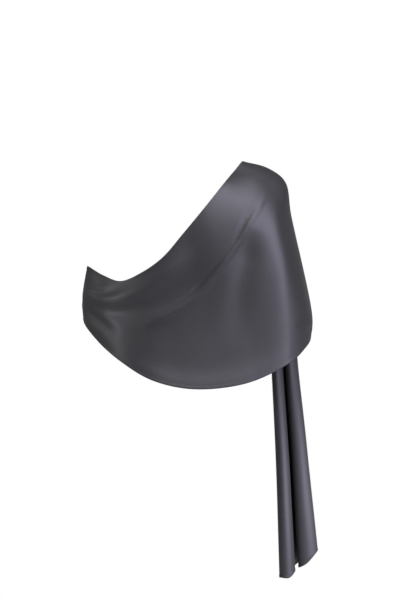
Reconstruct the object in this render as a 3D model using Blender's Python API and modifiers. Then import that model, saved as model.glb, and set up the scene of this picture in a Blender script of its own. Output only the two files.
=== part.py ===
# Evening stole: one plain length of satin in its worn form, hollow, with no wearer.
# It lies over the right shoulder, crosses the back as a swag, goes round the left
# arm just above the elbow and ends short there. The long end is gathered in front
# of the right elbow and hangs as two deep tube folds.
# Metres, +Z up. +Y is the way the wearer faces and +X the wearer's right side.
# The origin is on top of the right shoulder, where the wearer carries the cloth.
import bpy
import bmesh
import numpy as np

MM = 0.001

# Driving sizes
CUT_WIDTH = 0.43
CLOTH_WALL = 0.0015
SEAM_GAP = 0.0003
END_ROW = 0.003          # first and last row of each stretch, so that its edges stay square

# Pleats of the two ends. A pleat count of 2 gives the two tubes of the long end.
LEFT_PLEATS = 3
RIGHT_PLEATS = 2
EDGE_TURN = 0.02         # share of the width by which each edge is turned in already

# Sections of the cloth from the left hem to the gathers before the right elbow.
# Each row is one section across the cloth, in millimetres, from the edge that
# lies against the neck (edge) down to the edge that hangs lowest (hem).
# bend is how far the pleats turn, in radians, depth how far they stand, and out
# the side that they stand towards.
SECTIONS = [
    dict(name="left hem", edge=(-280, 34, -388), high=(-280, 56, -394), upper=(-279, 78, -398),
         lower=(-277, 101, -398), low=(-274, 124, -395), hem=(-270, 147, -388),
         bend=1.9, depth=44, out=(1, 0, 0)),
    dict(name="left inner side", edge=(-286, 46, -300), high=(-288, 62, -306), upper=(-289, 80, -310),
         lower=(-289, 98, -313), low=(-287, 116, -313), hem=(-284, 135, -311),
         bend=1.8, depth=42, out=(1, 0, 0)),
    dict(name="over left forearm", edge=(-318, 52, -262), high=(-326, 62, -270), upper=(-332, 77, -277),
         lower=(-336, 93, -282), low=(-338, 110, -286), hem=(-338, 129, -289),
         bend=1.4, depth=26, out=(0, 0, 1)),
    dict(name="outside left forearm", edge=(-350, 42, -236), high=(-359, 47, -252),
         upper=(-366, 57, -269), lower=(-370, 71, -286),
         low=(-371, 90, -302), hem=(-368, 111, -317),
         bend=0.7, depth=9, out=(-1, 0, 0)),
    dict(name="left silhouette", edge=(-373, 0, -213), high=(-378, 2, -236), upper=(-382, 3, -262),
         lower=(-384, 4, -290), low=(-383, 4, -314), hem=(-380, 3, -335),
         bend=0, depth=0, out=(-1, 0, 0)),
    dict(name="behind left arm", edge=(-337, -45, -233), high=(-340, -48, -263),
         upper=(-342, -51, -292), lower=(-343, -54, -322),
         low=(-343, -57, -352), hem=(-340, -60, -380),
         bend=0, depth=0, out=(0, -1, 0)),
    dict(name="left blade", edge=(-297, -76, -246), high=(-298, -80, -280), upper=(-298, -84, -313),
         lower=(-298, -89, -349), low=(-296, -95, -382), hem=(-294, -101, -416),
         bend=0, depth=0, out=(0, -1, 0)),
    dict(name="left of the spine", edge=(-254, -95, -229), high=(-248, -99, -273),
         upper=(-243, -104, -317), lower=(-238, -110, -361),
         low=(-236, -118, -405), hem=(-235, -127, -451),
         bend=0, depth=0, out=(0, -1, 0)),
    dict(name="spine", edge=(-210, -103, -198), high=(-198, -106, -253), upper=(-186, -110, -307),
         lower=(-178, -116, -361), low=(-171, -125, -415), hem=(-168, -136, -469),
         bend=0, depth=0, out=(0, -1, 0)),
    dict(name="right of the spine", edge=(-167, -104, -148), high=(-148, -107, -213),
         upper=(-131, -109, -278), lower=(-116, -114, -342),
         low=(-105, -123, -406), hem=(-98, -134, -470),
         bend=0, depth=0, out=(0, -1, 0)),
    dict(name="right blade", edge=(-121, -98, -92), high=(-91, -106, -163), upper=(-66, -107, -236),
         lower=(-48, -108, -309), low=(-32, -114, -382), hem=(-21, -123, -455),
         bend=0, depth=0, out=(0, -1, 0)),
    dict(name="back of the right arm", edge=(-80, -70, -39), high=(-33, -84, -91),
         upper=(12, -86, -152), lower=(36, -88, -226),
         low=(54, -92, -331), hem=(60, -97, -415),
         bend=0, depth=0, out=(0, -1, 0)),
    dict(name="behind the shoulder", edge=(-57, -32, -10), high=(-6, -46, -33), upper=(30, -48, -71),
         lower=(50, -46, -124), low=(92, -50, -305), hem=(92, -56, -387),
         bend=0, depth=0, out=(0, -1, 0)),
    dict(name="shoulder ridge", edge=(-39, 0, 12), high=(14, 4, -2), upper=(52, 4, -31),
         lower=(65, 3, -103), low=(111, 4, -329), hem=(107, 6, -368),
         bend=0, depth=0, out=(0, 1, 0)),
    dict(name="front of the shoulder", edge=(-42, 62, -22), high=(-8, 66, -44), upper=(30, 60, -78),
         lower=(57, 52, -132), low=(98, 46, -268), hem=(109, 42, -350),
         bend=0.35, depth=14, out=(0, 1, 0)),
    dict(name="chest", edge=(-38, 100, -98), high=(-12, 96, -122), upper=(20, 88, -154),
         lower=(52, 80, -198), low=(84, 74, -262), hem=(105, 74, -324),
         bend=0.85, depth=42, out=(0, 1, 0)),
    dict(name="above the elbow", edge=(-20, 104, -186), high=(4, 99, -202), upper=(27, 94, -220),
         lower=(50, 92, -244), low=(73, 94, -275), hem=(93, 100, -304),
         bend=1.45, depth=60, out=(0, 1, 0)),
    dict(name="gather", edge=(8, 92, -268), high=(22, 92, -276), upper=(36, 93, -284),
         lower=(51, 96, -292), low=(66, 101, -301), hem=(82, 108, -310),
         bend=1.9, depth=76, out=(0, 1, 0)),
]

# The long end, below the gather: where its inner edge, middle and outer edge run,
# in millimetres, and the share of the cut width that its two pleats take up. The
# rest lies in creases too fine to model.
TAIL_SECTIONS = [
    dict(name="under the gather", inner=(25, 88, -338), first=(37, 92, -341), middle=(50, 97, -343),
         second=(64, 103, -344), outer=(78, 110, -345), share=0.62),
    dict(name="top of the tubes", inner=(27, 80, -405), first=(39, 86, -406), middle=(52, 93, -407),
         second=(66, 101, -407), outer=(80, 110, -407), share=0.8),
    dict(name="half way down", inner=(38, 68, -640), first=(52, 76, -641), middle=(67, 86, -636),
         second=(84, 97, -629), outer=(101, 108, -620), share=0.98),
    dict(name="right hem", inner=(46, 58, -888), first=(63, 68, -889), middle=(81, 80, -874),
         second=(102, 93, -862), outer=(123, 106, -842), share=1.0),
]
TAIL_BEND = 2.04

# Soft creases of the back, as seen from behind: the line runs from start by way of
# middle to end (x, z in millimetres). A negative depth is a ridge.
CREASES = [
    dict(name="crease under the blade", start=(-6, -88), middle=(-76, -200), end=(-214, -328),
         width=13, depth=7),
    dict(name="ridge below that crease", start=(0, -112), middle=(-52, -205), end=(-150, -300),
         width=17, depth=-4),
    dict(name="valley behind the arm", start=(-4, -135), middle=(-26, -250), end=(-62, -370),
         width=27, depth=8),
    dict(name="upper swag trough", start=(-112, -158), middle=(-200, -268), end=(-372, -288),
         width=19, depth=8),
    dict(name="fold at the left elbow", start=(-380, -310), middle=(-336, -338), end=(-280, -372),
         width=12, depth=6),
]

# Stretches of the cloth. from_row and to_row count the sections above, both tables
# in one run. rows and columns are the mesh's own steps along and across.
STRETCHES = [
    dict(name="left_end", from_row=0, to_row=3, rows=12, columns=36,
         colour=(0.075, 0.075, 0.085)),
    dict(name="back_drape", from_row=3, to_row=13.4, rows=36, columns=22,
         colour=(0.085, 0.085, 0.095)),
    dict(name="right_front", from_row=13.4, to_row=18, rows=18, columns=36,
         colour=(0.075, 0.075, 0.085)),
    dict(name="right_tail", from_row=18, to_row=21, rows=12, columns=44,
         colour=(0.09, 0.09, 0.1)),
]
SATIN_ROUGHNESS = 0.38
SATIN_SHEEN = 0.3

COLUMN_NAMES = ("edge", "high", "upper", "lower", "low", "hem")
TAIL_NAMES = ("inner", "first", "middle", "second", "outer")
PATH_STEPS = 400         # steps in which a pleat's path is summed
TANGENT_STEP = 0.02      # share of a section over which the slope at a seam is measured


def through(points, places):
    """Points of a smooth curve that passes through the given ones, at places counted in them."""
    points = np.asarray(points, float)
    last = len(points) - 1
    gaps = np.sqrt(np.linalg.norm(np.diff(points, axis=0), axis=-1))[..., None]
    gaps = np.maximum(gaps, 1e-6)
    slopes = np.diff(points, axis=0) / gaps
    inner = (slopes[:-1] * gaps[1:] + slopes[1:] * gaps[:-1]) / (gaps[:-1] + gaps[1:])
    tangents = np.concatenate([slopes[:1], inner, slopes[-1:]])
    start = np.clip(np.floor(places).astype(int), 0, last - 1)
    part = (np.asarray(places) - start).reshape((-1,) + (1,) * (points.ndim - 1))
    length = gaps[start]
    return ((2 * part**3 - 3 * part**2 + 1) * points[start]
            + (part**3 - 2 * part**2 + part) * length * tangents[start]
            + (3 * part**2 - 2 * part**3) * points[start + 1]
            + (part**3 - part**2) * length * tangents[start + 1])


def pleat_path(pleats, bend, across):
    """How far a pleated path has gone forward (0 to 1) and stands out (-0.5 to 0.5)."""
    steps = np.linspace(EDGE_TURN, 1 - EDGE_TURN, PATH_STEPS + 1)
    heading = -bend * np.sin(2 * np.pi * pleats * steps)
    middle = (heading[1:] + heading[:-1]) / 2
    forward = np.concatenate([[0], np.cumsum(np.cos(middle))])
    outward = np.concatenate([[0], np.cumsum(np.sin(middle))])
    if bend:
        outward = outward / (outward.max() - outward.min()) + 0.5
    places = np.linspace(0, 1, PATH_STEPS + 1)
    return (np.interp(across, places, forward / forward[-1]),
            np.interp(across, places, outward))


def pleated(base, pleats, bend, depth, out, across):
    """One section: the base curve with its pleats, at the places across the cloth."""
    forward, outward = pleat_path(pleats, bend, across)
    points = through(base, forward * (len(base) - 1))
    return points + outward[:, None] * depth * np.asarray(out, float)


def tail_depth(base, share):
    """The pleat depth at which a tail section takes up this share of the cloth's width."""
    shallow, deep = 0.0, CUT_WIDTH
    places = np.linspace(0, 1, PATH_STEPS + 1)
    for _ in range(30):
        depth = (shallow + deep) / 2
        path = pleated(base, RIGHT_PLEATS, TAIL_BEND, depth, (0, 1, 0), places)
        if np.linalg.norm(np.diff(path, axis=0), axis=1).sum() < CUT_WIDTH * share:
            shallow = depth
        else:
            deep = depth
    return depth


def all_sections(across):
    """Every section of both tables, from the left hem to the right hem."""
    sections = []
    half = [row["name"] for row in SECTIONS].index("spine")
    for index, row in enumerate(SECTIONS):
        base = np.array([row[name] for name in COLUMN_NAMES]) * MM
        pleats = LEFT_PLEATS if index < half else RIGHT_PLEATS
        sections.append(pleated(base, pleats, row["bend"], row["depth"] * MM, row["out"], across))
    for row in TAIL_SECTIONS:
        base = np.array([row[name] for name in TAIL_NAMES]) * MM
        depth = tail_depth(base, row["share"])
        sections.append(pleated(base, RIGHT_PLEATS, TAIL_BEND, depth, (0, 1, 0), across))
    return np.array(sections)


def crease_offset(points):
    """How far each point sinks in towards the body for the creases of the back."""
    sink = np.zeros(points.shape[:-1])
    flat = points[..., [0, 2]]
    for crease in CREASES:
        line = through([np.array(crease[name]) * MM for name in ("start", "middle", "end")],
                       np.linspace(0, 2, 33))
        away = np.linalg.norm(flat[..., None, :] - line, axis=-1)
        nearest = away.argmin(axis=-1)
        fade = np.sin(np.pi * (nearest + 0.5) / len(line)) ** 0.7
        near = np.exp(-(away.min(axis=-1) / (crease["width"] * MM)) ** 2)
        sink += crease["depth"] * MM * fade * near
    behind = np.clip(-points[..., 1] / (40 * MM), 0, 1)
    return sink * behind


def cloth_points(places, across):
    """The grid of points at the given places along (counted in sections) and across."""
    points = through(all_sections(across), places)
    along_cloth = np.gradient(points, places, axis=0)
    across_cloth = np.gradient(points, axis=1)
    inward = np.cross(along_cloth, across_cloth)
    inward /= np.linalg.norm(inward, axis=-1, keepdims=True)
    inward *= np.sign((inward[..., 1:2] > 0) - 0.5)
    return points + inward * crease_offset(points)[..., None]


def square_end(seam, beside):
    """The first two rows at a seam: half the gap in from it, then a narrow row."""
    inwards = (beside - seam) / np.linalg.norm(beside - seam, axis=-1, keepdims=True)
    along_seam = np.gradient(seam, axis=0)
    along_seam /= np.linalg.norm(along_seam, axis=-1, keepdims=True)
    slant = np.sum(inwards * along_seam, axis=-1, keepdims=True)
    inwards /= np.sqrt(1 - slant**2)
    return [seam + inwards * SEAM_GAP / 2, seam + inwards * END_ROW]


def stretch_points(stretch):
    """The grid of one stretch, clear of its neighbours by the seam gap."""
    start, end = stretch["from_row"], stretch["to_row"]
    inside = np.linspace(start, end, stretch["rows"] + 1)[1:-1]
    places = np.concatenate([[start, start + TANGENT_STEP], inside, [end - TANGENT_STEP, end]])
    points = cloth_points(places, np.linspace(0, 1, stretch["columns"] + 1))
    first = square_end(points[0], points[1])
    last = square_end(points[-1], points[-2])
    return np.concatenate([first, points[2:-2], last[::-1]])


def satin(name, colour):
    """The satin's plain material for one stretch."""
    material = bpy.data.materials.new(name)
    material.use_nodes = True
    shader = material.node_tree.nodes["Principled BSDF"]
    shader.inputs["Base Color"].default_value = (*colour, 1)
    shader.inputs["Roughness"].default_value = SATIN_ROUGHNESS
    shader.inputs["Metallic"].default_value = 0
    shader.inputs["Sheen Weight"].default_value = SATIN_SHEEN
    return material


def make_stretch(stretch, collection):
    """One stretch: a lofted open grid that gets its wall from Solidify."""
    points = stretch_points(stretch)
    grid = bmesh.new()
    verts = [[grid.verts.new(point) for point in row] for row in points]
    for row, next_row in zip(verts, verts[1:]):
        for column in range(len(row) - 1):
            grid.faces.new((row[column], row[column + 1], next_row[column + 1], next_row[column]))
    mesh = bpy.data.meshes.new(stretch["name"])
    grid.to_mesh(mesh)
    grid.free()
    mesh.shade_smooth()
    mesh.materials.append(satin(stretch["name"] + "_satin", stretch["colour"]))
    piece = bpy.data.objects.new(stretch["name"], mesh)
    collection.objects.link(piece)
    wall = piece.modifiers.new("cloth wall", "SOLIDIFY")
    wall.thickness = CLOTH_WALL
    wall.offset = 0
    return piece


for leftover in list(bpy.data.objects):
    bpy.data.objects.remove(leftover, do_unlink=True)
stole = bpy.data.collections.new("evening_stole")
bpy.context.scene.collection.children.link(stole)
for stretch in STRETCHES:
    make_stretch(stretch, stole)
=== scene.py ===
import math

import bmesh
import bpy
import numpy as np
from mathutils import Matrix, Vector


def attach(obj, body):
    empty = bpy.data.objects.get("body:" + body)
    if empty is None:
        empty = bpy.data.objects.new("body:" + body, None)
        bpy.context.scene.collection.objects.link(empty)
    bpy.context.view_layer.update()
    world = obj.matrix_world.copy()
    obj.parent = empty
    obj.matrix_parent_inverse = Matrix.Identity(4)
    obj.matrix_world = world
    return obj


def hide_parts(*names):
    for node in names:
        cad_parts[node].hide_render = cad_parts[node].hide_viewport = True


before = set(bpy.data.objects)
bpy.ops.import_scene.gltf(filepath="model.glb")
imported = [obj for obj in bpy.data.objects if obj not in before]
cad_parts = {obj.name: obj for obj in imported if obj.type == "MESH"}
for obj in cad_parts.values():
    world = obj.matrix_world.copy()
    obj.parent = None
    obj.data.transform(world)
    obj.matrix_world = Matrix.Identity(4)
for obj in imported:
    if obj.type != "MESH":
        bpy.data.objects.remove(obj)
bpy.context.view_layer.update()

mm = 0.001

# The stole is one length of satin. All places are in the frame of the CAD model:
# +X the wearer's right, +Y the way the wearer faces, +Z up, the origin on the shoulder.
clothSizes = {
    "cutWidth": 0.43,
    "cutLength": 1.70,
    "rows": 400,              # mesh rows along the cloth
    "columns": 92,            # mesh columns across it
    "thickness": 0.0006,      # drawn a little thicker than real satin
    "hemThickness": 0.0014,   # a hem folded over twice
    "hemWidth": 0.006,
    "hemLines": (0, 0.25, 0.8, 1.05),   # mesh lines at each edge, in hem widths, the last past the hem
    "afterHem": 1.3,          # where the even mesh lines start, in hem widths
    "loftRows": 2101,         # steps of the first loft, along the cloth
    "loftColumns": 601,       # and across it
}

# The pleats of the two ends, as in the solids.
pleatSizes = {
    "leftCount": 3,
    "rightCount": 2,
    "edgeTurn": 0.02,         # share of the pleat path that is left off at each edge
    "tailBend": 2.04,         # how far the path of the long end turns either way, in radians
    "pathSteps": 400,
    "depthTries": 30,         # halvings in the search for the depth of a pleat
}

# Sections across the cloth, in millimetres, from the left hem to the gather
# before the right elbow. Each runs from the neck side down to the lowest edge.
sectionRows = [
    dict(name="left hem", points=((-280, 34, -388), (-280, 56, -394), (-279, 78, -398),
         (-277, 101, -398), (-274, 124, -395), (-270, 147, -388)), bend=1.9, depth=44, out=(1, 0, 0)),
    dict(name="left inner side", points=((-286, 46, -300), (-288, 62, -306), (-289, 80, -310),
         (-289, 98, -313), (-287, 116, -313), (-284, 135, -311)), bend=1.8, depth=42, out=(1, 0, 0)),
    dict(name="over left forearm", points=((-318, 52, -262), (-326, 62, -270), (-332, 77, -277),
         (-336, 93, -282), (-338, 110, -286), (-338, 129, -289)), bend=1.4, depth=26, out=(0, 0, 1)),
    dict(name="outside left forearm", points=((-350, 42, -236), (-359, 47, -252), (-366, 57, -269),
         (-370, 71, -286), (-371, 90, -302), (-368, 111, -317)), bend=0.7, depth=9, out=(-1, 0, 0)),
    dict(name="left silhouette", points=((-373, 0, -213), (-378, 2, -236), (-382, 3, -262),
         (-384, 4, -290), (-383, 4, -314), (-380, 3, -335)), bend=0, depth=0, out=(-1, 0, 0)),
    dict(name="behind left arm", points=((-337, -45, -233), (-340, -48, -263), (-342, -51, -292),
         (-343, -54, -322), (-343, -57, -352), (-340, -60, -380)), bend=0, depth=0, out=(0, -1, 0)),
    dict(name="left blade", points=((-297, -76, -246), (-298, -80, -280), (-298, -84, -313),
         (-298, -89, -349), (-296, -95, -382), (-294, -101, -416)), bend=0, depth=0, out=(0, -1, 0)),
    dict(name="left of the spine", points=((-254, -95, -229), (-248, -99, -273), (-243, -104, -317),
         (-238, -110, -361), (-236, -118, -405), (-235, -127, -451)), bend=0, depth=0, out=(0, -1, 0)),
    dict(name="spine", points=((-210, -103, -198), (-198, -106, -253), (-186, -110, -307),
         (-178, -116, -361), (-171, -125, -415), (-168, -136, -469)), bend=0, depth=0, out=(0, -1, 0)),
    dict(name="right of the spine", points=((-167, -104, -148), (-148, -107, -213), (-131, -109, -278),
         (-116, -114, -342), (-105, -123, -406), (-98, -134, -470)), bend=0, depth=0, out=(0, -1, 0)),
    dict(name="right blade", points=((-121, -98, -92), (-91, -106, -163), (-66, -107, -236),
         (-48, -108, -309), (-32, -114, -382), (-21, -123, -455)), bend=0, depth=0, out=(0, -1, 0)),
    dict(name="back of the right arm", points=((-80, -70, -39), (-33, -84, -91), (12, -86, -152),
         (36, -88, -226), (54, -92, -331), (60, -97, -415)), bend=0, depth=0, out=(0, -1, 0)),
    dict(name="behind the shoulder", points=((-57, -32, -10), (-6, -46, -33), (30, -48, -71),
         (50, -46, -124), (92, -50, -305), (92, -56, -387)), bend=0, depth=0, out=(0, -1, 0)),
    dict(name="shoulder ridge", points=((-39, 0, 12), (14, 4, -2), (52, 4, -31),
         (65, 3, -103), (111, 4, -329), (107, 6, -368)), bend=0, depth=0, out=(0, 1, 0)),
    dict(name="front of the shoulder", points=((-42, 62, -22), (-8, 66, -44), (30, 60, -78),
         (57, 52, -132), (98, 46, -268), (109, 42, -350)), bend=0.35, depth=14, out=(0, 1, 0)),
    dict(name="chest", points=((-38, 100, -98), (-12, 96, -122), (20, 88, -154),
         (52, 80, -198), (84, 74, -262), (105, 74, -324)), bend=0.85, depth=42, out=(0, 1, 0)),
    dict(name="above the elbow", points=((-20, 104, -186), (4, 99, -202), (27, 94, -220),
         (50, 92, -244), (73, 94, -275), (93, 100, -304)), bend=1.45, depth=60, out=(0, 1, 0)),
    dict(name="gather", points=((8, 92, -268), (22, 92, -276), (36, 93, -284),
         (51, 96, -292), (66, 101, -301), (82, 108, -310)), bend=1.9, depth=76, out=(0, 1, 0)),
]

# The long end, from its inner edge to its outer one, and the share of the cut width in its pleats.
tailRows = [
    dict(name="under the gather", points=((25, 88, -338), (37, 92, -341), (50, 97, -343),
         (64, 103, -344), (78, 110, -345)), share=0.62),
    dict(name="top of the tubes", points=((27, 80, -405), (39, 86, -406), (52, 93, -407),
         (66, 101, -407), (80, 110, -407)), share=0.8),
    dict(name="half way down", points=((38, 68, -640), (52, 76, -641), (67, 86, -636),
         (84, 97, -629), (101, 108, -620)), share=0.98),
    dict(name="right hem", points=((46, 58, -888), (63, 68, -889), (81, 80, -874),
         (102, 93, -862), (123, 106, -842)), share=1.0),
]

# Creases of the back, as seen from behind: x and z in millimetres along the line, and
# width, depth and lip at its start and its end. depth sinks the line itself and lip
# raises the cloth beside it on the lower side; below zero they do the opposite.
# fade is the share of the length over which each end dies away.
backCreases = [
    dict(name="crease under the blade", line=((13, -47), (-13, -88), (-58, -157), (-108, -220), (-154, -269),
         (-218, -305), (-268, -319)), width=(2.4, 13), depth=(0.6, 0.6), lip=(2.6, 6.6), fade=0.2),
    dict(name="its sharp bottom", line=((-8, -82), (-31, -109), (-57, -161), (-88, -203), (-123, -244),
         (-156, -276)), width=(2.6, 4.4), depth=(4.0, 2.6), lip=(0, 0), fade=0.2),
    dict(name="valley behind the arm", line=((-16, -130), (-40, -236), (-68, -392)),
         width=(22, 30), depth=(7.5, 4), lip=(0, 0), fade=0.36),
    dict(name="upper swag fold", line=((-142, -170), (-197, -227), (-243, -260), (-289, -279), (-333, -285),
         (-370, -273), (-391, -265)), width=(24, 13), depth=(-7.5, -3.6), lip=(-5, -2.2), fade=0.2),
    dict(name="short fold at the left arm", line=((-376, -262), (-340, -272), (-290, -262)),
         width=(5, 9), depth=(1.8, 1.8), lip=(1, 1), fade=0.36),
    dict(name="fold at the left elbow", line=((-386, -300), (-350, -328), (-296, -366)),
         width=(7, 14), depth=(3.4, 3.4), lip=(1, 1), fade=0.36),
    dict(name="pull at the right elbow", line=((108, -322), (92, -332), (72, -352)),
         width=(4, 9), depth=(2.2, 2.2), lip=(1, 1), fade=0.36),
    dict(name="second pull at the elbow", line=((111, -336), (98, -352), (84, -378)),
         width=(4, 8), depth=(1.6, 1.6), lip=(0.8, 0.8), fade=0.36),
]

# Creases elsewhere, drawn on the cloth itself: rows are counted in sections, across
# runs from the neck side (0) to the lowest edge (1), width and depth in millimetres.
clothCreases = [
    dict(name="front fold from the shoulder", rows=(13.7, 17.2), across=(0.30, 0.22), width=9, depth=4.5),
    dict(name="front fold over the arm", rows=(13.9, 17.1), across=(0.56, 0.52), width=10, depth=5),
    dict(name="outer front fold", rows=(14.3, 17.0), across=(0.80, 0.74), width=8, depth=4),
    dict(name="inner edge fold", rows=(14.6, 17.3), across=(0.10, 0.12), width=7, depth=3),
    dict(name="short pull over the chest", rows=(14.0, 15.6), across=(0.42, 0.36), width=7, depth=2.4),
    dict(name="pull round the elbow", rows=(13.2, 15.4), across=(0.97, 0.86), width=6, depth=2.6),
    dict(name="gather crease 1", rows=(16.4, 18.6), across=(0.16, 0.18), width=4, depth=2.2),
    dict(name="gather crease 2", rows=(16.2, 18.4), across=(0.38, 0.36), width=4, depth=2.4),
    dict(name="gather crease 3", rows=(16.5, 18.8), across=(0.62, 0.64), width=4, depth=2.2),
    dict(name="gather crease 4", rows=(16.3, 18.5), across=(0.84, 0.83), width=4, depth=2.2),
    dict(name="left end crease 1", rows=(0.6, 3.2), across=(0.08, 0.12), width=4, depth=1.6),
    dict(name="left end crease 2", rows=(0.9, 3.7), across=(0.40, 0.42), width=4, depth=1.8),
    dict(name="left end crease 3", rows=(0.7, 3.4), across=(0.73, 0.70), width=4, depth=1.6),
    dict(name="flare above the lower edge", rows=(5.2, 11.6), across=(0.98, 0.98), width=30, depth=-5),
    dict(name="tail long dent 1", rows=(18.3, 20.5), across=(0.42, 0.47), width=9, depth=2.4),
    dict(name="tail long dent 2", rows=(18.8, 20.9), across=(0.57, 0.54), width=8, depth=1.8),
    dict(name="tail inner dent", rows=(18.2, 20.6), across=(0.02, 0.03), width=7, depth=2.4),
    dict(name="tail outer dent", rows=(18.6, 20.6), across=(0.90, 0.94), width=9, depth=2.2),
]

creaseSizes = {
    "backPoints": 241,        # points along each crease of the back
    "clothPoints": 121,       # and along each crease drawn on the cloth
    "clothFade": 0.36,        # share of a cloth crease over which each end dies away
    "clothSway": 0.02,        # how far it bows sideways, as a share of the width
    "lipPlace": 1.7,          # distance of the lip from the line, in crease widths
    "frontShare": 0.6,        # what is left of the back's creases at y = 0
    "frontFade": 30,          # mm of y over which they go from full to nothing
}

# The slight unevenness of any hanging cloth: waves long along it and short across it.
unevenSizes = {
    "waves": 14,
    "height": 1.1,            # mm
    "alongRate": (6, 30),     # radians to the metre
    "acrossRate": (3, 16),    # radians to the width
    "seed": 7,
}


def throughPoints(points, places):
    # a smooth curve that passes through the given points, at places counted in them
    points = np.asarray(points, float)
    last = len(points) - 1
    gaps = np.sqrt(np.linalg.norm(np.diff(points, axis=0), axis=-1))[..., None]
    gaps = np.maximum(gaps, 1e-6)
    slopes = np.diff(points, axis=0) / gaps
    inner = (slopes[:-1] * gaps[1:] + slopes[1:] * gaps[:-1]) / (gaps[:-1] + gaps[1:])
    tangents = np.concatenate([slopes[:1], inner, slopes[-1:]])
    start = np.clip(np.floor(places).astype(int), 0, last - 1)
    part = (np.asarray(places) - start).reshape((-1,) + (1,) * (points.ndim - 1))
    length = gaps[start]
    return ((2 * part**3 - 3 * part**2 + 1) * points[start]
            + (part**3 - 2 * part**2 + part) * length * tangents[start]
            + (3 * part**2 - 2 * part**3) * points[start + 1]
            + (part**3 - part**2) * length * tangents[start + 1])


def pleatPath(count, bend, across):
    # how far a pleated path has gone forward (0 to 1) and stands out (-0.5 to 0.5)
    turn = pleatSizes["edgeTurn"]
    steps = np.linspace(turn, 1 - turn, pleatSizes["pathSteps"] + 1)
    heading = -bend * np.sin(2 * np.pi * count * steps)
    middle = (heading[1:] + heading[:-1]) / 2
    forward = np.concatenate([[0], np.cumsum(np.cos(middle))])
    outward = np.concatenate([[0], np.cumsum(np.sin(middle))])
    if bend:
        outward = outward / (outward.max() - outward.min()) + 0.5
    places = np.linspace(0, 1, len(steps))
    return np.interp(across, places, forward / forward[-1]), np.interp(across, places, outward)


def pleatedSection(points, count, bend, depth, out, across):
    base = np.array(points) * mm
    forward, outward = pleatPath(count, bend, across)
    return throughPoints(base, forward * (len(base) - 1)) + outward[:, None] * depth * np.asarray(out, float)


def tailSection(row, across):
    # the pleats are as deep as it takes to use their share of the cut width
    shallow, deep = 0.0, clothSizes["cutWidth"]
    wanted = clothSizes["cutWidth"] * row["share"]
    fine = np.linspace(0, 1, pleatSizes["pathSteps"] + 1)
    count, bend = pleatSizes["rightCount"], pleatSizes["tailBend"]
    for attempt in range(pleatSizes["depthTries"]):
        depth = (shallow + deep) / 2
        path = pleatedSection(row["points"], count, bend, depth, (0, 1, 0), fine)
        if np.linalg.norm(np.diff(path, axis=0), axis=1).sum() < wanted:
            shallow = depth
        else:
            deep = depth
    return pleatedSection(row["points"], count, bend, depth, (0, 1, 0), across)


def allSections(across):
    # the number of pleats changes at the spine, where there are none
    half = [row["name"] for row in sectionRows].index("spine")
    sections = []
    for index, row in enumerate(sectionRows):
        count = pleatSizes["leftCount"] if index < half else pleatSizes["rightCount"]
        depth = row["depth"] * mm
        sections.append(pleatedSection(row["points"], count, row["bend"], depth, row["out"], across))
    sections += [tailSection(row, across) for row in tailRows]
    return np.array(sections)


def hemmedPlaces(length, count):
    # even steps, with a few extra lines that shape the hem at both ends
    hem = clothSizes["hemWidth"]
    lines = np.array(clothSizes["hemLines"]) * hem
    start = clothSizes["afterHem"] * hem
    inside = np.linspace(start, length - start, count - 2 * len(lines) + 1)
    return np.concatenate([lines, inside, length - lines[::-1]]) / length


def pathLengths(points, axis):
    steps = np.linalg.norm(np.diff(points, axis=axis), axis=-1)
    start = np.zeros_like(np.take(steps, [0], axis=axis))
    return np.concatenate([start, np.cumsum(steps, axis=axis)], axis=axis)


def surfaceNormals(points):
    along = np.gradient(points, axis=0)
    across = np.gradient(points, axis=1)
    normals = np.cross(across, along)
    return normals / np.maximum(np.linalg.norm(normals, axis=-1, keepdims=True), 1e-12)


def baseGrid():
    # loft first, then even steps by real length in both directions
    across = np.linspace(0, 1, clothSizes["loftColumns"])
    sections = allSections(across)
    fineRows = np.linspace(0, len(sections) - 1, clothSizes["loftRows"])
    middle = throughPoints(sections[:, [len(across) // 2]], fineRows)
    lengths = pathLengths(middle, 0)[:, 0]
    places = hemmedPlaces(lengths[-1], clothSizes["rows"])
    rows = np.interp(places * lengths[-1], lengths, fineRows)
    dense = throughPoints(sections, rows)
    widths = pathLengths(dense, 1)
    grid, columns = [], []
    for line, run in zip(dense, widths):
        wanted = hemmedPlaces(run[-1], clothSizes["columns"]) * run[-1]
        grid.append(np.stack([np.interp(wanted, run, line[:, k]) for k in range(3)], axis=1))
        columns.append(np.interp(wanted, run, across))
    return np.array(grid), rows, np.array(columns)


def softEnds(share, fade):
    # 0 at both ends of a crease and 1 over its middle, with no kink
    rise = np.clip(np.minimum(share, 1 - share) / fade, 0, 1)
    return rise * rise * (3 - 2 * rise)


def backCreaseHeight(points):
    # how far the cloth stands out at each point, from the creases of the back
    height = np.zeros(points.shape[:2])
    flat = points[..., [0, 2]]
    for crease in backCreases:
        places = np.linspace(0, len(crease["line"]) - 1, creaseSizes["backPoints"])
        line = throughPoints(np.array(crease["line"]) * mm, places)
        heading = np.gradient(line, axis=0)
        heading /= np.linalg.norm(heading, axis=1, keepdims=True)
        offset = flat[..., None, :] - line
        nearest = np.linalg.norm(offset, axis=-1).argmin(axis=-1)
        gap = np.take_along_axis(offset, nearest[..., None, None], axis=2)[..., 0, :]
        side = gap[..., 0] * heading[nearest, 1] - gap[..., 1] * heading[nearest, 0]
        away = np.linalg.norm(gap, axis=-1)
        share = nearest / (len(line) - 1)
        width, depth, lip = [(crease[size][0] * (1 - share) + crease[size][1] * share) * mm
                             for size in ("width", "depth", "lip")]
        strength = softEnds(share, crease["fade"])
        trough = np.exp(-(away / width) ** 2)
        ridge = np.exp(-((away - creaseSizes["lipPlace"] * width) / width) ** 2) * (side < 0)
        height += strength * (lip * ridge - depth * trough)
    behind = -points[..., 1] / (creaseSizes["frontFade"] * mm)
    return height * np.clip(behind + creaseSizes["frontShare"], 0, 1)


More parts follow.
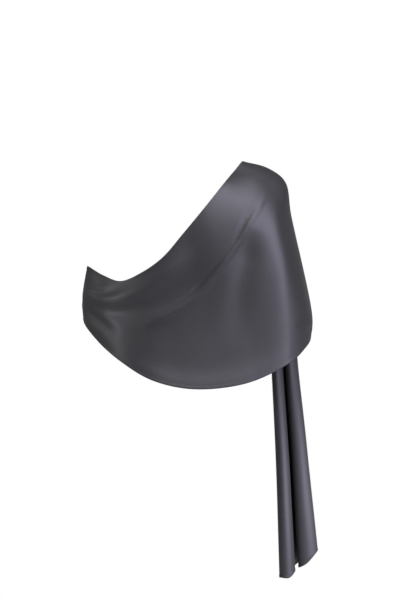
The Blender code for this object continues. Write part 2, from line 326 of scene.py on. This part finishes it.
def clothCreaseHeight(points, rows, columns):
    # the same for the creases drawn on the cloth, by distance along its surface
    rowLength = np.gradient(pathLengths(points, 0), axis=0) / np.gradient(rows)[:, None]
    lineWidth = pathLengths(points, 1)[:, -1:]
    height = np.zeros(points.shape[:2])
    for crease in clothCreases:
        steps = np.linspace(0, 1, creaseSizes["clothPoints"])
        lineRows = crease["rows"][0] + (crease["rows"][1] - crease["rows"][0]) * steps
        sway = creaseSizes["clothSway"] * np.sin(np.pi * steps)
        lineAcross = crease["across"][0] + (crease["across"][1] - crease["across"][0]) * steps + sway
        alongGap = (rows[:, None, None] - lineRows) * rowLength[..., None]
        acrossGap = (columns[..., None] - lineAcross) * lineWidth[..., None]
        away = np.sqrt(alongGap**2 + acrossGap**2)
        nearest = away.argmin(axis=-1)
        strength = softEnds(nearest / (len(steps) - 1), creaseSizes["clothFade"])
        trough = np.exp(-(away.min(axis=-1) / (crease["width"] * mm)) ** 2)
        height -= crease["depth"] * mm * strength * trough
    return height


def unevenness(points, columns):
    chance = np.random.default_rng(unevenSizes["seed"])
    run = pathLengths(points, 0)[:, [points.shape[1] // 2]]
    height = np.zeros(points.shape[:2])
    for wave in range(unevenSizes["waves"]):
        alongRate = chance.uniform(*unevenSizes["alongRate"])
        acrossRate = chance.uniform(*unevenSizes["acrossRate"])
        phase = chance.uniform(0, 2 * np.pi)
        lean = chance.choice([-1, 1])
        height += np.sin(run * alongRate + lean * columns * acrossRate + phase) / unevenSizes["waves"]
    return height * unevenSizes["height"] * mm


print("stole: draping the cloth")
clothGrid, gridRows, gridColumns = baseGrid()
outward = surfaceNormals(clothGrid)
# the middle of the cloth lies on the back, where outward is towards -Y
outward *= np.sign(-outward[clothGrid.shape[0] // 2, clothGrid.shape[1] // 2, 1])
creaseHeight = backCreaseHeight(clothGrid) + clothCreaseHeight(clothGrid, gridRows, gridColumns)
creaseHeight += unevenness(clothGrid, gridColumns)
clothGrid = clothGrid + outward * creaseHeight[..., None]


# Satin finish. Hex colours are sRGB.
satinLooks = {
    "thread": "#2a2a2b",
    "threadLight": "#323133",
    "threadShade": "#232324",
    "roughness": 0.52,
    "anisotropy": 0.3,
    "sheen": 0.1,
    "sheenRoughness": 0.45,
    "specular": 1.0,
    "specularTint": "#f5f5ff",
    "floatLength": 6.0,       # mm, drawn longer than a real 1 mm float so that it shows
    "floatWidth": 0.8,        # mm, drawn wider than the real 0.2 mm
    "floatDetail": 2.0,
    "floatRoughness": 0.6,
    "floatRelief": 0.35,      # strength of the bump
    "floatHeight": 0.0004,    # metres
    "cloudScale": (14, 5, 1),   # slow changes of tone, to the metre across and along
    "cloudDetail": 3.0,
    "cloudRoughness": 0.55,
}


def linearColour(hexText):
    parts = [int(hexText[k:k + 2], 16) / 255 for k in (1, 3, 5)]
    return [c / 12.92 if c <= 0.04045 else ((c + 0.055) / 1.055) ** 2.4 for c in parts] + [1.0]


def addNode(tree, kind, settings=None, inputs=None):
    # one node with its settings, and its inputs as values or links
    node = tree.nodes.new(kind)
    for name, value in (settings or {}).items():
        setattr(node, name, value)
    for name, value in (inputs or {}).items():
        if isinstance(value, bpy.types.NodeSocket):
            tree.links.new(value, node.inputs[name])
        else:
            node.inputs[name].default_value = value
    return node


def newMaterial(name):
    material = bpy.data.materials.new(name)
    material.use_nodes = True
    material.node_tree.nodes.clear()
    return material, material.node_tree


def wovenSatin():
    # Polyester satin, woven with long floats and calendered: a soft directional
    # gloss that turns dark where the cloth turns away from the light.
    material, tree = newMaterial("wovenSatin")
    looks = satinLooks
    coords = addNode(tree, "ShaderNodeUVMap", {"uv_map": "clothMap"})
    scaled = addNode(tree, "ShaderNodeMapping", inputs={
        "Vector": coords.outputs["UV"],
        "Scale": (1000 / looks["floatWidth"], 1000 / looks["floatLength"], 1)})
    floats = addNode(tree, "ShaderNodeTexNoise", inputs={
        "Vector": scaled.outputs["Vector"], "Scale": 1.0,
        "Detail": looks["floatDetail"], "Roughness": looks["floatRoughness"]})
    cloudMap = addNode(tree, "ShaderNodeMapping", inputs={
        "Vector": coords.outputs["UV"], "Scale": looks["cloudScale"]})
    clouds = addNode(tree, "ShaderNodeTexNoise", inputs={
        "Vector": cloudMap.outputs["Vector"], "Scale": 1.0,
        "Detail": looks["cloudDetail"], "Roughness": looks["cloudRoughness"]})
    threads = addNode(tree, "ShaderNodeMix", {"data_type": "RGBA"})
    tree.links.new(floats.outputs["Fac"], threads.inputs[0])
    threads.inputs[6].default_value = linearColour(looks["threadShade"])
    threads.inputs[7].default_value = linearColour(looks["threadLight"])
    tones = addNode(tree, "ShaderNodeMix", {"data_type": "RGBA"})
    tree.links.new(clouds.outputs["Fac"], tones.inputs[0])
    tree.links.new(threads.outputs[2], tones.inputs[6])
    tones.inputs[7].default_value = linearColour(looks["thread"])
    bump = addNode(tree, "ShaderNodeBump", inputs={
        "Strength": looks["floatRelief"], "Distance": looks["floatHeight"],
        "Height": floats.outputs["Fac"]})
    tangent = addNode(tree, "ShaderNodeTangent", {"direction_type": "UV_MAP", "uv_map": "clothMap"})
    shader = addNode(tree, "ShaderNodeBsdfPrincipled", inputs={
        "Base Color": tones.outputs[2], "Roughness": looks["roughness"],
        "Specular IOR Level": looks["specular"], "Specular Tint": linearColour(looks["specularTint"]),
        "Anisotropic": looks["anisotropy"],
        "Sheen Weight": looks["sheen"], "Sheen Roughness": looks["sheenRoughness"],
        "Normal": bump.outputs["Normal"], "Tangent": tangent.outputs["Tangent"]})
    output = addNode(tree, "ShaderNodeOutputMaterial")
    tree.links.new(shader.outputs["BSDF"], output.inputs["Surface"])
    return material


def stoleMesh(points):
    grid = bmesh.new()
    mapLayer = grid.loops.layers.uv.new("clothMap")
    run = pathLengths(points, 0)[:, points.shape[1] // 2]
    width = pathLengths(points, 1)
    verts = [[grid.verts.new(point) for point in row] for row in points]
    for i in range(len(verts) - 1):
        for j in range(len(verts[0]) - 1):
            corners = ((i, j), (i, j + 1), (i + 1, j + 1), (i + 1, j))
            face = grid.faces.new([verts[a][b] for a, b in corners])
            for loop, (a, b) in zip(face.loops, corners):
                loop[mapLayer].uv = (width[a, b], run[a])
    mesh = bpy.data.meshes.new("stoleCloth")
    grid.to_mesh(mesh)
    grid.free()
    mesh.shade_smooth()
    return mesh


def hemWeights(piece, points):
    # the hem is folded over twice, so the wall is thicker along all four edges
    rowCount, columnCount = points.shape[:2]
    group = piece.vertex_groups.new(name="hem")
    body = clothSizes["thickness"] / clothSizes["hemThickness"]
    lastInHem = len(clothSizes["hemLines"]) - 2
    for i in range(rowCount):
        for j in range(columnCount):
            step = min(i, j, rowCount - 1 - i, columnCount - 1 - j)
            group.add([i * columnCount + j], 1.0 if step <= lastInHem else body, "REPLACE")


print("stole: sewing the cloth")
stoleCloth = bpy.data.objects.new("stoleCloth", stoleMesh(clothGrid))
bpy.context.scene.collection.objects.link(stoleCloth)
hemWeights(stoleCloth, clothGrid)
clothWall = stoleCloth.modifiers.new("clothWall", "SOLIDIFY")
clothWall.thickness = clothSizes["hemThickness"]
clothWall.offset = 0
clothWall.vertex_group = "hem"
stoleCloth.data.materials.append(wovenSatin())

# The row of stitches that holds the narrow hem, on both faces of the cloth.
stitchSizes = {
    "gridLine": 2,            # the mesh line on which the row lies, 4.8 mm from the edge
    "pitch": 0.0032,          # metres from stitch to stitch
    "length": 0.0026,
    "width": 0.00055,         # drawn a little thicker than sewing thread
    "unevenness": 0.12,       # share by which the smallest stitch is smaller
    "seed": 5,
    "thread": "#3a3a3e",
    "threadRoughness": 0.55,
    "plyScale": 900.0,
    "plyDistortion": 1.5,
    "plyRelief": 0.3,
    "plyHeight": 0.0001,      # metres
}


def seamLines(points, normals):
    # one closed line round the cloth for each face, just clear of the hem's wall
    inset = stitchSizes["gridLine"]
    lastRow, lastColumn = points.shape[0] - 1 - inset, points.shape[1] - 1 - inset
    path = [(i, inset) for i in range(inset, lastRow)]
    path += [(lastRow, j) for j in range(inset, lastColumn)]
    path += [(i, lastColumn) for i in range(lastRow, inset, -1)]
    path += [(inset, j) for j in range(lastColumn, inset, -1)]
    verts, edges = [], []
    for side in (-1, 1):
        first = len(verts)
        lift = side * clothSizes["hemThickness"] / 2
        verts += [points[i, j] + normals[i, j] * lift for i, j in path]
        edges += [(first + k, first + (k + 1) % len(path)) for k in range(len(path))]
    mesh = bpy.data.meshes.new("hemStitches")
    mesh.from_pydata(verts, edges, [])
    return mesh


def stitchTree():
    tree = bpy.data.node_groups.new("hemStitches", "GeometryNodeTree")
    tree.interface.new_socket(name="Seam line", in_out="INPUT", socket_type="NodeSocketGeometry")
    for name, kind in (("Pitch", "Float"), ("Length", "Float"), ("Width", "Float"),
                       ("Unevenness", "Float"), ("Seed", "Int"), ("Thread", "Material")):
        tree.interface.new_socket(name=name, in_out="INPUT", socket_type="NodeSocket" + kind)
    tree.interface.new_socket(name="Stitches", in_out="OUTPUT", socket_type="NodeSocketGeometry")
    given = addNode(tree, "NodeGroupInput").outputs
    line = addNode(tree, "GeometryNodeMeshToCurve", inputs={"Mesh": given["Seam line"]})
    places = addNode(tree, "GeometryNodeResampleCurve", {"mode": "LENGTH"},
                     {"Curve": line.outputs["Curve"], "Length": given["Pitch"]})
    # a ball of 1 m across, which the transform scales to the size of one stitch
    stitch = addNode(tree, "GeometryNodeMeshIcoSphere", inputs={"Radius": 0.5, "Subdivisions": 1})
    shape = addNode(tree, "ShaderNodeCombineXYZ", inputs={
        "X": given["Width"], "Y": given["Width"], "Z": given["Length"]})
    shaped = addNode(tree, "GeometryNodeTransform", inputs={
        "Geometry": stitch.outputs["Mesh"], "Scale": shape.outputs["Vector"]})
    heading = addNode(tree, "GeometryNodeInputTangent")
    turned = addNode(tree, "FunctionNodeAlignRotationToVector", {"axis": "Z"},
                     {"Vector": heading.outputs["Tangent"]})
    least = addNode(tree, "ShaderNodeMath", {"operation": "SUBTRACT"}, {0: 1.0, 1: given["Unevenness"]})
    chance = addNode(tree, "FunctionNodeRandomValue", inputs={
        2: least.outputs[0], 3: 1.0, "Seed": given["Seed"]})
    row = addNode(tree, "GeometryNodeInstanceOnPoints", inputs={
        "Points": places.outputs["Curve"], "Instance": shaped.outputs["Geometry"],
        "Rotation": turned.outputs["Rotation"], "Scale": chance.outputs[1]})
    real = addNode(tree, "GeometryNodeRealizeInstances", inputs={"Geometry": row.outputs["Instances"]})
    sewn = addNode(tree, "GeometryNodeSetMaterial", inputs={
        "Geometry": real.outputs["Geometry"], "Material": given["Thread"]})
    result = addNode(tree, "NodeGroupOutput")
    tree.links.new(sewn.outputs["Geometry"], result.inputs["Stitches"])
    return tree


def spunThread():
    # Polyester sewing thread, spun in two plies that show as a slanting bump. Its dye is a
    # little lighter than the satin's, but with less gloss it looks a little darker.
    material, tree = newMaterial("spunThread")
    looks = stitchSizes
    coords = addNode(tree, "ShaderNodeTexCoord")
    plies = addNode(tree, "ShaderNodeTexWave", {"bands_direction": "DIAGONAL"}, {
        "Vector": coords.outputs["Object"], "Scale": looks["plyScale"],
        "Distortion": looks["plyDistortion"]})
    bump = addNode(tree, "ShaderNodeBump", inputs={
        "Strength": looks["plyRelief"], "Distance": looks["plyHeight"], "Height": plies.outputs["Fac"]})
    shader = addNode(tree, "ShaderNodeBsdfPrincipled", inputs={
        "Base Color": linearColour(looks["thread"]), "Roughness": looks["threadRoughness"],
        "Normal": bump.outputs["Normal"]})
    output = addNode(tree, "ShaderNodeOutputMaterial")
    tree.links.new(shader.outputs["BSDF"], output.inputs["Surface"])
    return material


def sewStitches(points, normals):
    seam = bpy.data.objects.new("seamLine", seamLines(points, normals))
    bpy.context.scene.collection.objects.link(seam)
    tree = stitchTree()
    values = {"Pitch": stitchSizes["pitch"], "Length": stitchSizes["length"],
              "Width": stitchSizes["width"], "Unevenness": stitchSizes["unevenness"],
              "Seed": stitchSizes["seed"], "Thread": spunThread()}
    sewing = seam.modifiers.new("sewing", "NODES")
    sewing.node_group = tree
    for item in tree.interface.items_tree:
        if item.in_out == "INPUT" and item.name in values:
            sewing[item.identifier] = values[item.name]
    graph = bpy.context.evaluated_depsgraph_get()
    mesh = bpy.data.meshes.new_from_object(seam.evaluated_get(graph), depsgraph=graph)
    seam.modifiers.remove(sewing)
    seam.data = mesh
    seam.name = "hemStitches"
    return seam


hemStitches = sewStitches(clothGrid, surfaceNormals(clothGrid))
print("stole: stitches sewn,", len(hemStitches.data.polygons), "faces")
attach(hemStitches, "root")

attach(stoleCloth, "root")
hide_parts("left_end", "back_drape", "right_front", "right_tail")


# Studio: a pale floor below and a pale surrounding.
studio = {
    "floorHeight": -1.40,
    "floorMiddle": -0.13,     # its place in x, under the camera's line of sight
    "floorRadius": 2.1,
    "floorSegments": 96,
    "floorTone": "#e6e4e1",
    "floorRoughness": 0.85,
    "worldTone": "#ffffff",
    "worldShown": 1.0,
    "worldLight": 0.15,
}
# Five wide lamps give the soft light. Two narrow ones, leftLamp and tailLamp, lift the left
# arm and the long end. azimuth is counted from the camera to its right, and height above
# the level, both in degrees; spread is the angle of the beam.
wideLamp = dict(distance=3.2, aim=(-0.1, 0, -0.3), size=1.2, spread=180, tone="#ffffff")
lamps = [
    dict(wideLamp, name="keyLamp", azimuth=30, height=45, power=28, tone="#edeafc"),
    dict(wideLamp, name="sideLamp", azimuth=52, height=20, power=46, tone="#edeafc"),
    dict(wideLamp, name="topLamp", azimuth=10, height=70, power=20),
    dict(wideLamp, name="leftLamp", azimuth=-60, height=12, power=0.075,
         distance=1.8, aim=(-0.37, 0, -0.31), size=0.2, spread=16),
    dict(wideLamp, name="upperLamp", azimuth=-4, height=55, power=22),
    dict(wideLamp, name="tailLamp", azimuth=86, height=-3, power=0.31,
         distance=2.6, aim=(0.09, 0.05, -0.71), size=0.5, spread=15, tone="#edeafc"),
    dict(wideLamp, name="frontLamp", azimuth=188, height=5, power=60, distance=3.4, size=1.4),
]


def paleFloor():
    # Matt pale paint, rolled on a flat floor.
    material, tree = newMaterial("paintedFloor")
    shader = addNode(tree, "ShaderNodeBsdfPrincipled", inputs={
        "Base Color": linearColour(studio["floorTone"]), "Roughness": studio["floorRoughness"]})
    output = addNode(tree, "ShaderNodeOutputMaterial")
    tree.links.new(shader.outputs["BSDF"], output.inputs["Surface"])
    disc = bmesh.new()
    bmesh.ops.create_circle(disc, cap_ends=True, segments=studio["floorSegments"],
                            radius=studio["floorRadius"])
    middle = (studio["floorMiddle"], 0, studio["floorHeight"])
    bmesh.ops.translate(disc, verts=disc.verts, vec=middle)
    mesh = bpy.data.meshes.new("floor")
    disc.to_mesh(mesh)
    disc.free()
    mesh.materials.append(material)
    floor = bpy.data.objects.new("floor", mesh)
    bpy.context.scene.collection.objects.link(floor)


def paleWorld():
    # pale where it is seen, and weaker as a light, so that the cloth keeps its modelling
    world = bpy.data.worlds.new("studioWorld")
    bpy.context.scene.world = world
    world.use_nodes = True
    tree = world.node_tree
    tree.nodes.clear()
    tone = linearColour(studio["worldTone"])
    seen = addNode(tree, "ShaderNodeBackground", inputs={"Color": tone, "Strength": studio["worldShown"]})
    light = addNode(tree, "ShaderNodeBackground", inputs={"Color": tone, "Strength": studio["worldLight"]})
    path = addNode(tree, "ShaderNodeLightPath")
    mix = addNode(tree, "ShaderNodeMixShader", inputs={0: path.outputs["Is Camera Ray"]})
    tree.links.new(light.outputs[0], mix.inputs[1])
    tree.links.new(seen.outputs[0], mix.inputs[2])
    output = addNode(tree, "ShaderNodeOutputWorld")
    tree.links.new(mix.outputs[0], output.inputs["Surface"])


def addLamp(row):
    light = bpy.data.lights.new(row["name"], "AREA")
    light.shape = "DISK"
    light.size = row["size"]
    light.energy = row["power"]
    light.color = linearColour(row["tone"])[:3]
    light.spread = math.radians(row["spread"])
    azimuth, height = math.radians(row["azimuth"]), math.radians(row["height"])
    level = math.cos(height)
    reach = Vector((math.sin(azimuth) * level, -math.cos(azimuth) * level, math.sin(height)))
    lamp = bpy.data.objects.new(row["name"], light)
    lamp.location = Vector(row["aim"]) + reach * row["distance"]
    lamp.rotation_euler = reach.to_track_quat("Z", "Y").to_euler()
    bpy.context.scene.collection.objects.link(lamp)


print("stole: setting up the studio")
paleFloor()
paleWorld()
for lampRow in lamps:
    addLamp(lampRow)

# Camera: straight behind and level, with a lens that gives 2.15 mm to a pixel at y = 0,
# in a picture of 601 pixels high.
cameraView = {
    "place": (-0.130, -3.5, -0.287),
    "frameHeight": 1.292,     # metres that the picture covers at the cloth
    "filmHeight": 36.0,
}
camera = bpy.data.cameras.new("photoCamera")
camera.sensor_fit = "VERTICAL"
camera.sensor_height = cameraView["filmHeight"]
camera.lens = cameraView["filmHeight"] * -cameraView["place"][1] / cameraView["frameHeight"]
cameraObject = bpy.data.objects.new("photoCamera", camera)
cameraObject.location = cameraView["place"]
cameraObject.rotation_euler = (math.pi / 2, 0, 0)
bpy.context.scene.collection.objects.link(cameraObject)
bpy.context.scene.camera = cameraObject
bpy.context.scene.view_settings.view_transform = "Standard"
